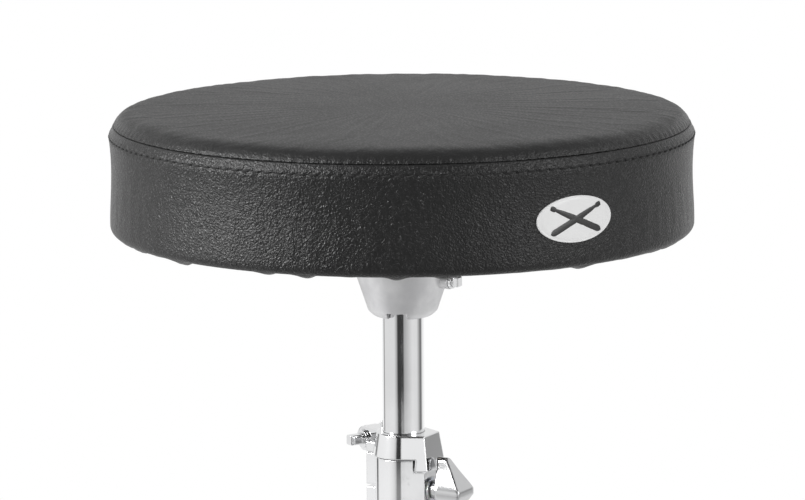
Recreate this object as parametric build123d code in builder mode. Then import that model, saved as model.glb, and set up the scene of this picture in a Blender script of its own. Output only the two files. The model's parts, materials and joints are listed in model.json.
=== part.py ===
from build123d import *
import os
from math import cos, radians, sin, tan

# Drum throne: round padded seat on a height-adjustable post, held by a folding
# double-braced tripod. Millimetres, +Z up, floor at Z = 0. Each piece is drawn about
# the post's axis; save() then moves it by POST_Y, which puts the origin under the
# middle of the whole throne. The front of the seat, with its badge, faces -Y.

os.makedirs("parts", exist_ok=True)

# ---------------------------------------------------------------- driving sizes
# Seat
SEAT_R = 175.0  # at the stitch line, the widest ring of the seat
SEAM_R = 172.0  # at the sewn edge of the top panel
STITCH_Z = 505.0
THREAD_R = 0.5
SEAM_Z = 511.9
CROWN = 10.3  # how far the top swells above the sewn edge
CROWN_POWER = 14  # flat middle, quick roll-off at the rim
WAIST_R = 173.6  # the side band pulls in a little below the stitch line
SEAT_BOTTOM_Z = 447.0
COVER_T = 1.2
HEM_R = 140.0  # inner edge of the cover's turned-under hem
BOARD_R = 170.0
BOARD_T = 12.0
BOARD_Z = SEAT_BOTTOM_Z + COVER_T + 0.1
SCREW_PCD_R = 41.0  # the four hub screws

# Seat hub
HUB_BOTTOM_Z = 393.6
HUB_FLANGE_R = 50.0
HUB_FLANGE_T = 5.0
HUB_BOLT_Z = 416.8
HUB_BOLT_AZ = -28.0

# Post and outer tube
POST_R = 12.7
POST_WALL = 2.0
POST_TOP_Z = 438.0
POST_BOTTOM_Z = 140.0
TUBE_R = 15.0
TUBE_WALL = 1.2
TUBE_TOP_Z = 306.8
TUBE_BOTTOM_Z = 55.0
RUN = 0.05  # radial running clearance

# Memory lock and receiver
CLAMP_AZ = -30.0  # the clamp boss and its wing bolt point right and forward
RIB_AZ = 150.0
LOCK_TOP_Z = 322.3
LOCK_BOTTOM_Z = 308.0
LOCK_TAB_Z = 300.9
EAR_AZ = 124.0  # the lock's clamp ears point left and back
EAR_BOLT_A = 28.5  # key bolt's distance from the post's axis
EAR_HALF_W = 10.0
EAR_Z = 313.8
RECEIVER_TOP_Z = 307.3
RECEIVER_BOTTOM_Z = 266.0
RECEIVER_R = 17.6
WING_Z = 288.0
SHELF_GAP = 0.7

# Tripod: leg and stay pivots lie on one vertical line, and the stay is as long
# as the leg's upper part, so both make the same angle with that line.
LEG_AZ = (-90.0, 30.0, 150.0)
PIVOT_R = 32.0
SPREAD = 52.0  # leg angle from the vertical when open
STAY_L = 85.0
COLLAR_Z = 182.0  # top pivot
FOOT_NOSE_Z = 11.0
FOOT_NOSE_R = 15.0
LEG_WIDTH = 16.0
STAY_WIDTH = 13.0
BAR_T = 2.0
STAY_IN = 4.0  # inner face of a stay bar, from the leg's middle plane
LEG_IN = 6.3
FORK_IN = 8.8
FORK_T = 3.5
PIN_R = 3.0
PIN_GAP = 0.08
LEG_WING_AZ = -150.0

# ---------------------------------------------------------------- derived sizes
LOWER_Z = COLLAR_Z - 2 * STAY_L * cos(radians(SPREAD))
LEG_L = (COLLAR_Z - FOOT_NOSE_Z) / cos(radians(SPREAD))
LEG_DIR = (sin(radians(SPREAD)), -cos(radians(SPREAD)))
FOOT_REACH = PIVOT_R + (COLLAR_Z - FOOT_NOSE_Z) * tan(radians(SPREAD)) + FOOT_NOSE_R
STITCH_RING_R = SEAT_R + 0.1 + 2 * THREAD_R
POST_Y = (FOOT_REACH - STITCH_RING_R) / 2
POST_BORE = POST_R + RUN
TUBE_BORE = TUBE_R - TUBE_WALL
PIN_HOLE = PIN_R + PIN_GAP


# ---------------------------------------------------------------- helpers
def save(builder, name):
    """Moves a finished piece from the post's axis to the frame, labels it and writes it."""
    builder.part.locate(Location((0, POST_Y, 0)))
    builder.part.label = name
    export_step(builder.part, f"parts/{name}.step")


def along_leg(distance):
    """The point (r, z) this far down the leg from its top pivot."""
    return (PIVOT_R + LEG_DIR[0] * distance, COLLAR_Z + LEG_DIR[1] * distance)


def level_plane(azimuth, z):
    """A horizontal plane at height z whose local x points along azimuth."""
    a = radians(azimuth)
    return Plane(origin=(0, 0, z), x_dir=(cos(a), sin(a), 0), z_dir=(0, 0, 1))


def leg_plane(azimuth, offset=0.0):
    """A leg's upright middle plane: local x is radial, local y is up."""
    a = radians(azimuth)
    middle = Plane(origin=(0, 0, 0), x_dir=(cos(a), sin(a), 0), z_dir=(sin(a), -cos(a), 0))
    return middle.offset(offset)


def bolt_plane(azimuth, z, distance=0.0):
    """A plane facing out along azimuth, this far from the post's axis; local y is up."""
    a = radians(azimuth)
    facing = Plane(origin=(0, 0, z), x_dir=(-sin(a), cos(a), 0), z_dir=(cos(a), sin(a), 0))
    return facing.offset(distance)


def cushion_outline(inset):
    """Half the seat's section, this far inside its skin, as a closed line."""
    seam = (SEAM_R - inset, SEAM_Z - 0.6 * inset)
    crown = [
        (r * (1 - inset / SEAM_R), SEAM_Z - inset + CROWN * (1 - (r / SEAM_R) ** CROWN_POWER))
        for r in (0, 80, 120, 145, 158, 166)
    ]
    corner = 7.0 - inset
    side_r = SEAT_R - 0.6 - inset
    bottom = SEAT_BOTTOM_Z + inset
    with BuildLine() as outline:
        Spline(*crown, seam)
        Polyline(seam, (SEAT_R - inset, STITCH_Z))
        Spline((SEAT_R - inset, STITCH_Z), (WAIST_R - inset, 485), (side_r, bottom + corner))
        RadiusArc((side_r, bottom + corner), (side_r - corner, bottom), corner)
        Polyline((side_r - corner, bottom), (0, bottom), crown[0])
    return outline


def cushion_body(inset):
    """The solid of revolution inside cushion_outline(inset)."""
    outline = cushion_outline(inset)
    with BuildPart() as body:
        with BuildSketch(Plane.XZ):
            add(outline.line)
            make_face()
        revolve(axis=Axis.Z)
    return body


# ---------------------------------------------------------------- seat cushion
skin = cushion_body(0.0)
lining = cushion_body(COVER_T)

with BuildPart() as cover_top_panel:
    add(skin.part)
    add(lining.part, mode=Mode.SUBTRACT)
    with Locations((0, 0, STITCH_Z + 4)):
        Cylinder(SEAM_R - 0.6, 60, align=(Align.CENTER, Align.CENTER, Align.MIN), mode=Mode.INTERSECT)
save(cover_top_panel, "cover_top_panel")

with BuildPart() as cover_side_band:
    add(skin.part)
    add(lining.part, mode=Mode.SUBTRACT)
    with Locations((0, 0, STITCH_Z)):
        Cylinder(SEAM_R - 0.55, 60, align=(Align.CENTER, Align.CENTER, Align.MIN), mode=Mode.SUBTRACT)
    with Locations((0, 0, SEAT_BOTTOM_Z)):
        Cylinder(HEM_R, 5, align=(Align.CENTER, Align.CENTER, Align.CENTER), mode=Mode.SUBTRACT)
save(cover_side_band, "cover_side_band")

with BuildPart() as top_stitching:
    with Locations((0, 0, STITCH_Z)):
        Torus(STITCH_RING_R - THREAD_R, THREAD_R)
save(top_stitching, "top_stitching")

with BuildPart() as seat_foam:
    add(cushion_body(COVER_T + 0.1).part)
    with BuildSketch(Plane.XY.offset(BOARD_Z + BOARD_T + 0.1)):
        Circle(SEAT_R)
    extrude(amount=80, mode=Mode.INTERSECT)
save(seat_foam, "seat_foam")

TNUT_FLANGE_R = 9.5
TNUT_BARREL_R = 4.0
TNUT_FLANGE_T = 1.5
with BuildPart() as seat_board:
    with BuildSketch(Plane.XY.offset(BOARD_Z)):
        Circle(BOARD_R)
    extrude(amount=BOARD_T)
    fillet(seat_board.edges().group_by(Axis.Z)[0], 4.0)
    with Locations(Plane.XY.offset(BOARD_Z + BOARD_T)):
        with PolarLocations(SCREW_PCD_R, 4, 45):
            CounterBoreHole(TNUT_BARREL_R + 0.05, TNUT_FLANGE_R + 0.1, TNUT_FLANGE_T + 0.05)
save(seat_board, "seat_board")

with BuildPart() as board_t_nuts:
    with BuildSketch(Plane.XY.offset(BOARD_Z + BOARD_T - TNUT_FLANGE_T)):
        with PolarLocations(SCREW_PCD_R, 4, 45):
            Circle(TNUT_FLANGE_R)
    extrude(amount=TNUT_FLANGE_T)
    with BuildSketch(Plane.XY.offset(BOARD_Z + 1)):
        with PolarLocations(SCREW_PCD_R, 4, 45):
            Circle(TNUT_BARREL_R)
    extrude(amount=BOARD_T - TNUT_FLANGE_T - 1)
    with BuildSketch(Plane.XY.offset(BOARD_Z)):
        with PolarLocations(SCREW_PCD_R, 4, 45):
            Circle(PIN_HOLE)
    extrude(amount=BOARD_T, mode=Mode.SUBTRACT)
save(board_t_nuts, "board_t_nuts")

DUST_T = 0.7
with BuildPart() as dust_cover:
    with BuildSketch(Plane.XY.offset(SEAT_BOTTOM_Z - DUST_T)):
        Circle(HEM_R + 8)
        Circle(HUB_FLANGE_R + 4, mode=Mode.SUBTRACT)
    extrude(amount=DUST_T - 0.05)
save(dust_cover, "dust_cover")

STAPLE_COUNT = 28
with BuildPart() as staples:
    with BuildSketch(Plane.XY.offset(SEAT_BOTTOM_Z - DUST_T - 0.05)):
        with PolarLocations(HEM_R + 3, STAPLE_COUNT):
            RectangleRounded(1.2, 10, 0.5)
    extrude(amount=-0.6)
save(staples, "staples")

BADGE_AZ = -55.8
BADGE_Z = 475.5
BADGE_SIZE = (26.1, 13.3)  # half length along the rim, half height
BADGE_BACK_R = 174.3
with BuildPart() as badge:
    with BuildSketch(bolt_plane(BADGE_AZ, BADGE_Z, SEAT_R - 12)):
        Ellipse(*BADGE_SIZE)
    extrude(amount=24)
    with Locations((0, 0, BADGE_Z)):
        Cylinder(BADGE_BACK_R + 0.8, 60, mode=Mode.INTERSECT)
        Cylinder(BADGE_BACK_R, 70, mode=Mode.SUBTRACT)
save(badge, "badge")

# ---------------------------------------------------------------- seat hub
HUB_WAIST = (27.6, 417.0)
HUB_FOOT = (21.3, 398.2)
flange_z = BOARD_Z - HUB_FLANGE_T
NOTCH_AZ = -101.0
HUB_BOSS_A = 32.4
HUB_BOSS_R = 4.9
with BuildPart() as seat_hub:
    with BuildSketch(Plane.XZ):
        with BuildLine():
            Polyline(
                (0, POST_TOP_Z + 1),
                (0, BOARD_Z - 0.05),
                (HUB_FLANGE_R, BOARD_Z - 0.05),
                (HUB_FLANGE_R, flange_z),
                (35.0, flange_z),
                HUB_WAIST,
                HUB_FOOT,
            )
            Spline(HUB_FOOT, (19.3, 395.6), (16.0, HUB_BOTTOM_Z), tangents=((-0.3, -1), (-1, -0.2)))
            Polyline(
                (16.0, HUB_BOTTOM_Z),
                (POST_BORE, HUB_BOTTOM_Z),
                (POST_BORE, POST_TOP_Z + 1),
                (0, POST_TOP_Z + 1),
            )
        make_face()
    revolve(axis=Axis.Z)
    with BuildSketch(bolt_plane(HUB_BOLT_AZ, HUB_BOLT_Z, 18)):
        Circle(HUB_BOSS_R)
    extrude(amount=HUB_BOSS_A - 18)
    with BuildSketch(bolt_plane(HUB_BOLT_AZ, HUB_BOLT_Z, POST_R - 2)):
        Circle(PIN_HOLE)
    extrude(amount=25, mode=Mode.SUBTRACT)
    with BuildSketch(Plane.XY):
        Circle(POST_BORE)
    extrude(amount=POST_TOP_Z + 1, mode=Mode.SUBTRACT)
    with BuildSketch(level_plane(NOTCH_AZ, HUB_BOTTOM_Z - 1)):
        with Locations((14, 0)):
            Rectangle(14, 12)
    extrude(amount=5.2, mode=Mode.SUBTRACT)
    with Locations(Plane.XY.offset(BOARD_Z)):
        with PolarLocations(SCREW_PCD_R, 4, 45):
            Hole(PIN_HOLE, HUB_FLANGE_T * 2)
save(seat_hub, "seat_hub")

with BuildPart() as hub_screws:
    with BuildSketch(Plane.XY.offset(flange_z - 0.05)):
        with PolarLocations(SCREW_PCD_R, 4, 45):
            Circle(5.5)
    extrude(amount=-3.3)
    fillet(hub_screws.edges().group_by(Axis.Z)[0], 1.4)
    with BuildSketch(Plane.XY.offset(flange_z - 0.05)):
        with PolarLocations(SCREW_PCD_R, 4, 45):
            Circle(PIN_R)
    extrude(amount=15)
    with BuildSketch(Plane.XY.offset(flange_z - 3.4)):
        with PolarLocations(SCREW_PCD_R, 4, 45):
            RegularPolygon(2.4, 6)
    extrude(amount=2.0, mode=Mode.SUBTRACT)
save(hub_screws, "hub_screws")


def key_bolt(plane, shank, flange_r, head_l, name):
    """A drum-key bolt: plain shank inwards, round flange and square head outwards."""
    with BuildPart() as bolt:
        with BuildSketch(plane):
            Circle(PIN_R)
        extrude(amount=-shank)
        chamfer(bolt.faces().sort_by(Axis(plane.origin, plane.z_dir))[0].edges(), 0.6)
        with BuildSketch(plane):
            Circle(flange_r)
        extrude(amount=1.8)
        with BuildSketch(plane.offset(1.8)):
            Circle(3.4)
        extrude(amount=1.2)
        with BuildSketch(plane.offset(3.0)):
            RectangleRounded(6.0, 6.0, 0.7)
        extrude(amount=head_l)
        chamfer(bolt.faces().sort_by(Axis(plane.origin, plane.z_dir))[-1].edges(), 0.5)
    save(bolt, name)


hub_seat = bolt_plane(HUB_BOLT_AZ, HUB_BOLT_Z, HUB_BOSS_A + 0.1)
key_bolt(hub_seat, HUB_BOSS_A - POST_R - 0.1, 4.4, 3.4, "hub_key_bolt")

# ---------------------------------------------------------------- post
with BuildPart() as seat_post:
    with BuildSketch(Plane.XY.offset(POST_BOTTOM_Z)):
        Circle(POST_R)
        Circle(POST_R - POST_WALL, mode=Mode.SUBTRACT)
    extrude(amount=POST_TOP_Z - POST_BOTTOM_Z)
    chamfer(seat_post.edges().group_by(Axis.Z)[-1].sort_by(SortBy.LENGTH)[-1], 0.8)
save(seat_post, "seat_post")

with BuildPart() as post_end_plug:
    with BuildSketch(Plane.XY.offset(POST_BOTTOM_Z - 2.5)):
        Circle(POST_R - 0.2)
    extrude(amount=2.45)
    with BuildSketch(Plane.XY.offset(POST_BOTTOM_Z - 0.05)):
        Circle(POST_R - POST_WALL - 0.05)
    extrude(amount=12)
    fillet(post_end_plug.edges().group_by(Axis.Z)[0], 1.0)
save(post_end_plug, "post_end_plug")

# ---------------------------------------------------------------- memory lock
BLOCK_END = 19.4
BLOCK_HALF_W = 9.2
TAB_START = 15.6
TAB_BORE = TUBE_R + 0.2
ear = radians(EAR_AZ)
EAR_CENTRE = (EAR_BOLT_A * cos(ear), EAR_BOLT_A * sin(ear), EAR_Z)
KEY_DIR = (-sin(ear), cos(ear), 0)  # out of the ears, left and forward
key_plane = Plane(origin=EAR_CENTRE, x_dir=(cos(ear), sin(ear), 0), z_dir=KEY_DIR)


def ring_and_block(ring_r, end, half_w):
    """The outline of a ring drawn out to a block whose end is this far out and half as wide."""
    with BuildSketch() as outline:
        with BuildLine():
            CenterArc((0, 0), ring_r, 0, 360)
            Line((end, -half_w), (end, half_w))
        make_hull()
    return outline.sketch


with BuildPart() as memory_lock_collar:
    # ring and block over the clamp boss, flaring downwards, with a tab into the receiver
    with BuildSketch(level_plane(CLAMP_AZ, LOCK_TOP_Z)):
        add(ring_and_block(16.6, BLOCK_END, BLOCK_HALF_W))
    extrude(amount=-(LOCK_TOP_Z - LOCK_TAB_Z), taper=-8.5)
    with BuildSketch(level_plane(CLAMP_AZ, LOCK_TAB_Z - 1)):
        Rectangle(120, 120)
        with Locations((TAB_START + 20, 0)):
            Rectangle(40, 40, mode=Mode.SUBTRACT)
        Circle(TAB_BORE)
    extrude(amount=LOCK_BOTTOM_Z - LOCK_TAB_Z + 1, mode=Mode.SUBTRACT)
    fillet(memory_lock_collar.faces().sort_by(Axis.Z)[-1].edges(), 1.0)
    # clamp ears
    with BuildSketch(key_plane.offset(-EAR_HALF_W)):
        with Locations((-EAR_BOLT_A / 2 + 4, EAR_Z - (LOCK_TOP_Z + LOCK_BOTTOM_Z) / 2)):
            Rectangle(EAR_BOLT_A - 8, LOCK_TOP_Z - LOCK_BOTTOM_Z - 1.0)
        Circle(7.4)
    extrude(amount=2 * EAR_HALF_W)
    # rib that lines up with the receiver's
    with BuildSketch(level_plane(RIB_AZ, LOCK_BOTTOM_Z)):
        with Locations((11.7, 0)):
            Rectangle(23.4, 10)
    extrude(amount=6)
    # bore
    with BuildSketch(Plane.XY.offset(LOCK_TAB_Z - 5)):
        Circle(POST_BORE)
    extrude(amount=40, mode=Mode.SUBTRACT)
    # clamp slit through the ears
    with BuildSketch(level_plane(EAR_AZ, LOCK_BOTTOM_Z - 3)):
        with Locations((27, 0)):
            Rectangle(38, 2.4)
    extrude(amount=24, mode=Mode.SUBTRACT)
    # key bolt hole and the square nut's pocket
    with BuildSketch(key_plane.offset(-EAR_HALF_W - 1)):
        Circle(PIN_HOLE + 0.1)
    extrude(amount=2 * EAR_HALF_W + 2, mode=Mode.SUBTRACT)
    with BuildSketch(key_plane.offset(-EAR_HALF_W - 0.01)):
        Rectangle(10.2, 10.2)
    extrude(amount=3.0, mode=Mode.SUBTRACT)
    # spring tab beside the post
    with BuildSketch(level_plane(EAR_AZ + 18, LOCK_TOP_Z - 2)):
        with Locations((15.0, 0)):
            RectangleRounded(2.2, 5.0, 0.8)
    extrude(amount=6.4)
save(memory_lock_collar, "memory_lock_collar")

with BuildPart() as lock_square_nut:
    with BuildSketch(key_plane.offset(-EAR_HALF_W + 0.1)):
        Rectangle(10.0, 10.0)
        Circle(PIN_HOLE, mode=Mode.SUBTRACT)
    extrude(amount=2.8)
save(lock_square_nut, "lock_square_nut")

key_bolt(key_plane.offset(EAR_HALF_W + 0.1), 2 * EAR_HALF_W + 1.5, 5.3, 8.0, "lock_key_bolt")

# ---------------------------------------------------------------- receiver
BOSS_END = 19.2
BOSS_HALF_W = 8.8
SHELF_START = 13.4
with BuildPart() as receiver_casting:
    # barrel drawn out to the clamp boss
    with BuildSketch(level_plane(CLAMP_AZ, RECEIVER_BOTTOM_Z + 4)):
        add(ring_and_block(RECEIVER_R, BOSS_END, BOSS_HALF_W))
    extrude(amount=RECEIVER_TOP_Z - RECEIVER_BOTTOM_Z - 4)
    fillet(receiver_casting.faces().sort_by(Axis.Z)[0].edges(), 1.5)
    with BuildSketch(Plane.XY.offset(RECEIVER_BOTTOM_Z)):
        Circle(RECEIVER_R)
    extrude(amount=10)
    # rear rib with its spring slit
    with BuildSketch(level_plane(RIB_AZ, RECEIVER_BOTTOM_Z + 5)):
        with Locations((11.7, 0)):
            Rectangle(23.4, 10)
    extrude(amount=RECEIVER_TOP_Z - RECEIVER_BOTTOM_Z - 5)
    with BuildSketch(level_plane(RIB_AZ, 286.2)):
        with Locations((22, 0)):
            Rectangle(8.4, 12)
    extrude(amount=1.6, mode=Mode.SUBTRACT)
    # tube socket
    with BuildSketch(Plane.XY.offset(RECEIVER_BOTTOM_Z - 1)):
        Circle(TUBE_R + 0.02)
    extrude(amount=60, mode=Mode.SUBTRACT)
    # seat for the lock's tab
    with BuildSketch(level_plane(CLAMP_AZ, LOCK_TAB_Z - SHELF_GAP)):
        with Locations((SHELF_START + 20, 0)):
            Rectangle(40, 40)
    extrude(amount=20, mode=Mode.SUBTRACT)
    # tapped hole for the wing bolt
    with BuildSketch(bolt_plane(CLAMP_AZ, WING_Z, 10)):
        Circle(4.1)
    extrude(amount=20, mode=Mode.SUBTRACT)
save(receiver_casting, "receiver_casting")

SHOE_R = 4.5
with BuildPart() as post_bush:
    with BuildSketch(Plane.XY.offset(262)):
        Circle(TUBE_BORE - 0.02)
    extrude(amount=TUBE_TOP_Z - 262)
    with BuildSketch(Plane.XY.offset(TUBE_TOP_Z + 0.02)):
        Circle(TUBE_R)
    extrude(amount=LOCK_BOTTOM_Z - TUBE_TOP_Z - 0.05)
    with BuildSketch(Plane.XY.offset(TUBE_TOP_Z - 0.5)):
        Circle(TUBE_BORE - 0.02)
    extrude(amount=1)
    with BuildSketch(Plane.XY.offset(250)):
        Circle(POST_BORE)
    extrude(amount=80, mode=Mode.SUBTRACT)
    with BuildSketch(bolt_plane(CLAMP_AZ, WING_Z, 8)):
        Circle(SHOE_R + 0.1)
    extrude(amount=20, mode=Mode.SUBTRACT)
save(post_bush, "post_bush")

with BuildPart() as clamp_shoe:
    with BuildSketch(bolt_plane(CLAMP_AZ, WING_Z, 8)):
        Circle(SHOE_R)
    extrude(amount=TUBE_BORE + 0.4 - 8)
    with BuildSketch(Plane.XY.offset(250)):
        Circle(POST_BORE)
    extrude(amount=80, mode=Mode.SUBTRACT)
save(clamp_shoe, "clamp_shoe")

with BuildPart() as outer_tube:
    with BuildSketch(Plane.XY.offset(TUBE_BOTTOM_Z)):
        Circle(TUBE_R)
        Circle(TUBE_BORE, mode=Mode.SUBTRACT)
    extrude(amount=TUBE_TOP_Z - TUBE_BOTTOM_Z)
    with BuildSketch(bolt_plane(CLAMP_AZ, WING_Z, 8)):
        Circle(SHOE_R + 0.3)
    extrude(amount=20, mode=Mode.SUBTRACT)
save(outer_tube, "outer_tube")


def wing_bolt(azimuth, z, tip_a, base_a, span, name):
    """A wing bolt on a radial axis: stem from tip_a, wings from base_a outwards.

    Seen along its axis it is a lens; seen from the side its front is a peak over the
    stem and its back is hollowed towards the stem.
    """
    half = span / 2
    hub_r = 0.47 * half
    tip_w = 3.0
    nose_a = base_a + 1.08 * half
    lens = (
        (tip_w, 2 - half),
        (0.62 * hub_r, -0.5 * half),
        (hub_r, 0),
        (0.62 * hub_r, 0.5 * half),
        (tip_w, half - 2),
    )
    side_points = (
        (base_a + 5.0, -0.3 * half),
        (base_a + 2.2, -half),
        (base_a + 0.47 * half, -half),
        (nose_a, -0.09 * half),
        (nose_a, 0.09 * half),
        (base_a + 0.47 * half, half),
        (base_a + 2.2, half),
        (base_a + 5.0, 0.3 * half),
    )
    # the wings are drawn along +X at floor level, then turned and raised into place
    with BuildPart() as wings:
        with BuildSketch(bolt_plane(0, 0, base_a)):
            with BuildLine():
                for side in (1, -1):
                    flank = [(side * x, side * y) for x, y in lens]
                    Spline(*flank, tangents=((0.3 * side, side), (-0.3 * side, side)))
                    ThreePointArc(flank[-1], (0, side * half), (-side * tip_w, flank[-1][1]))
            make_face()
        extrude(amount=nose_a - base_a + 1)
        with BuildSketch(leg_plane(0, -hub_r - 2)):
            Polygon(*side_points, align=None)
            fillet(vertices(), 1.2)
        extrude(amount=2 * hub_r + 4, mode=Mode.INTERSECT)
        fillet(wings.edges(), 1.0)
    with BuildPart() as bolt:
        with BuildSketch(bolt_plane(azimuth, z, tip_a)):
            Circle(4.0)
        extrude(amount=base_a - tip_a + 6)
        with BuildSketch(bolt_plane(azimuth, z, base_a)):
            Circle(5.6)
        extrude(amount=8)
        with Locations((0, 0, z)):
            add(wings.part, rotation=(0, 0, azimuth))
    save(bolt, name)


def washer(azimuth, z, start_a, name):
    """A plain M8 washer facing out along azimuth."""
    with BuildPart() as ring:
        with BuildSketch(bolt_plane(azimuth, z, start_a)):
            Circle(7.6)
            Circle(4.15, mode=Mode.SUBTRACT)
        extrude(amount=1.4)
    save(ring, name)


WING_BASE_A = 20.9
washer(CLAMP_AZ, WING_Z, BOSS_END + 0.1, "height_bolt_washer")
wing_bolt(CLAMP_AZ, WING_Z, TUBE_BORE + 0.5, WING_BASE_A, 41.4, "height_wing_bolt")

# ---------------------------------------------------------------- lower collar
LOWER_RING_R = 20.0
EAR_W = 7.4
SLOT = 12.4  # how far a stay's lower pin drops in its slot half way through the fold
EAR_R = 7.0
with BuildPart() as lower_collar:
    with BuildSketch(Plane.XY.offset(LOWER_Z - SLOT - 8)):
        Circle(LOWER_RING_R)
    extrude(amount=SLOT + 18)
    chamfer(lower_collar.edges().filter_by(GeomType.CIRCLE), 1.2)
    for azimuth in LEG_AZ:
        with BuildSketch(leg_plane(azimuth, -EAR_W / 2)):
            with Locations(Location((PIVOT_R, LOWER_Z - SLOT / 2, 0), 90)):
                SlotCenterToCenter(SLOT, 2 * EAR_R)
            with Locations(((17 + PIVOT_R) / 2, LOWER_Z - SLOT / 2)):
                Rectangle(PIVOT_R - 17, SLOT + 2 * EAR_R)
            with Locations(Location((PIVOT_R, LOWER_Z - SLOT / 2, 0), 90)):
                SlotCenterToCenter(SLOT, 2 * PIN_HOLE, mode=Mode.SUBTRACT)
        extrude(amount=EAR_W)
    with BuildSketch(Plane.XY.offset(LOWER_Z - 40)):
        Circle(TUBE_R + 0.02)
    extrude(amount=80, mode=Mode.SUBTRACT)
    with BuildSketch(bolt_plane(LEG_WING_AZ, LOWER_Z, 10)):
        Circle(2.1)
    extrude(amount=20, mode=Mode.SUBTRACT)
save(lower_collar, "lower_collar")

with BuildPart() as lower_collar_set_screw:
    with BuildSketch(bolt_plane(LEG_WING_AZ, LOWER_Z, TUBE_R + 0.1)):
        Circle(2.0)
    extrude(amount=4.6)
    with BuildSketch(bolt_plane(LEG_WING_AZ, LOWER_Z, TUBE_R + 2.6)):
        RegularPolygon(1.2, 6)
    extrude(amount=3, mode=Mode.SUBTRACT)
save(lower_collar_set_screw, "lower_collar_set_screw")

with BuildPart() as tube_end_plug:
    with BuildSketch(Plane.XY.offset(TUBE_BOTTOM_Z - 4)):
        Circle(TUBE_R)
    extrude(amount=3.95)
    fillet(tube_end_plug.edges().group_by(Axis.Z)[0], 2.0)
    with BuildSketch(Plane.XY.offset(TUBE_BOTTOM_Z - 0.05)):
        Circle(TUBE_BORE - 0.05)
    extrude(amount=8)
save(tube_end_plug, "tube_end_plug")

# ---------------------------------------------------------------- leg collar
COLLAR_BUSH_R = 16.6
COLLAR_RING_R = 21.5
COLLAR_HALF_H = 15.0
collar_boss_a = 25.0
with BuildPart() as leg_collar:
    with BuildSketch(Plane.XY.offset(COLLAR_Z - COLLAR_HALF_H)):
        Circle(COLLAR_RING_R)
    extrude(amount=2 * COLLAR_HALF_H)
    chamfer(leg_collar.edges().filter_by(GeomType.CIRCLE), 1.5)
    for azimuth in LEG_AZ:
        for side in (-1, 1):
            with BuildSketch(leg_plane(azimuth, side * FORK_IN)):
                with BuildLine():
                    Polyline((15, COLLAR_Z - 11), (15, COLLAR_Z + 11), (PIVOT_R, COLLAR_Z + 7.5))
                    RadiusArc((PIVOT_R, COLLAR_Z + 7.5), (PIVOT_R, COLLAR_Z - 7.5), 7.5)
                    Line((PIVOT_R, COLLAR_Z - 7.5), (15, COLLAR_Z - 11))
                make_face()
                with Locations((PIVOT_R, COLLAR_Z)):
                    Circle(PIN_HOLE, mode=Mode.SUBTRACT)
            extrude(amount=side * FORK_T)
    with BuildSketch(bolt_plane(LEG_WING_AZ, COLLAR_Z, 12)):
        Circle(9.0)
    extrude(amount=collar_boss_a - 12)
    with BuildSketch(Plane.XY.offset(COLLAR_Z - 30)):
        Circle(COLLAR_BUSH_R)
    extrude(amount=60, mode=Mode.SUBTRACT)
    with BuildSketch(bolt_plane(LEG_WING_AZ, COLLAR_Z, 10)):
        Circle(4.1)
    extrude(amount=20, mode=Mode.SUBTRACT)
save(leg_collar, "leg_collar")

with BuildPart() as leg_collar_bush:
    with BuildSketch(Plane.XY.offset(COLLAR_Z - COLLAR_HALF_H + 0.5)):
        Circle(COLLAR_BUSH_R - 0.02)
        Circle(TUBE_R + RUN, mode=Mode.SUBTRACT)
    extrude(amount=2 * COLLAR_HALF_H - 1)
    with BuildSketch(bolt_plane(LEG_WING_AZ, COLLAR_Z, 10)):
        Circle(4.1)
    extrude(amount=20, mode=Mode.SUBTRACT)
save(leg_collar_bush, "leg_collar_bush")

with BuildPart() as leg_collar_rivets:
    for azimuth in LEG_AZ:
        for side in (-1, 1):
            with BuildSketch(leg_plane(azimuth, side * (FORK_IN + 0.1))):
                with Locations((PIVOT_R, COLLAR_Z)):
                    Circle(PIN_R)
            extrude(amount=side * FORK_T)
            with BuildSketch(leg_plane(azimuth, side * (FORK_IN + FORK_T + 0.05))):
                with Locations((PIVOT_R, COLLAR_Z)):
                    Circle(5.2)
            extrude(amount=side * 1.6, taper=25)
save(leg_collar_rivets, "leg_collar_rivets")

washer(LEG_WING_AZ, COLLAR_Z, collar_boss_a + 0.2, "collar_bolt_washer")
wing_bolt(LEG_WING_AZ, COLLAR_Z, TUBE_R + 0.2, collar_boss_a + 1.9, 38.0, "collar_wing_bolt")


# ---------------------------------------------------------------- legs and stays
FLANGE_START = 22.0
FLANGE_DEPTH = 4.0
FLANGE_T = 1.6
FOOT_BACK = 30.0  # how far the rubber foot reaches back along the leg
END_RIVET = LEG_L - FOOT_BACK - 16


def leg_bar(azimuth, side, name):
    """One channel-section bar of a leg, from its top pivot into the foot."""
    turn = SPREAD - 90
    with BuildPart() as bar:
        with BuildSketch(leg_plane(azimuth, side * LEG_IN)):
            with Locations(Location((*along_leg(LEG_L / 2), 0), turn)):
                SlotCenterToCenter(LEG_L, LEG_WIDTH)
            for distance in (0, STAY_L, END_RIVET):
                with Locations(along_leg(distance)):
                    Circle(PIN_HOLE, mode=Mode.SUBTRACT)
        extrude(amount=side * BAR_T)
        flange_l = LEG_L - FOOT_BACK - 3 - FLANGE_START
        with BuildSketch(leg_plane(azimuth, side * LEG_IN)):
            with Locations(Location((*along_leg(FLANGE_START + flange_l / 2), 0), turn)):
                with Locations((0, LEG_WIDTH / 2 - FLANGE_T / 2), (0, FLANGE_T / 2 - LEG_WIDTH / 2)):
                    Rectangle(flange_l, FLANGE_T)
        extrude(amount=side * FLANGE_DEPTH)
    save(bar, name)


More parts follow.
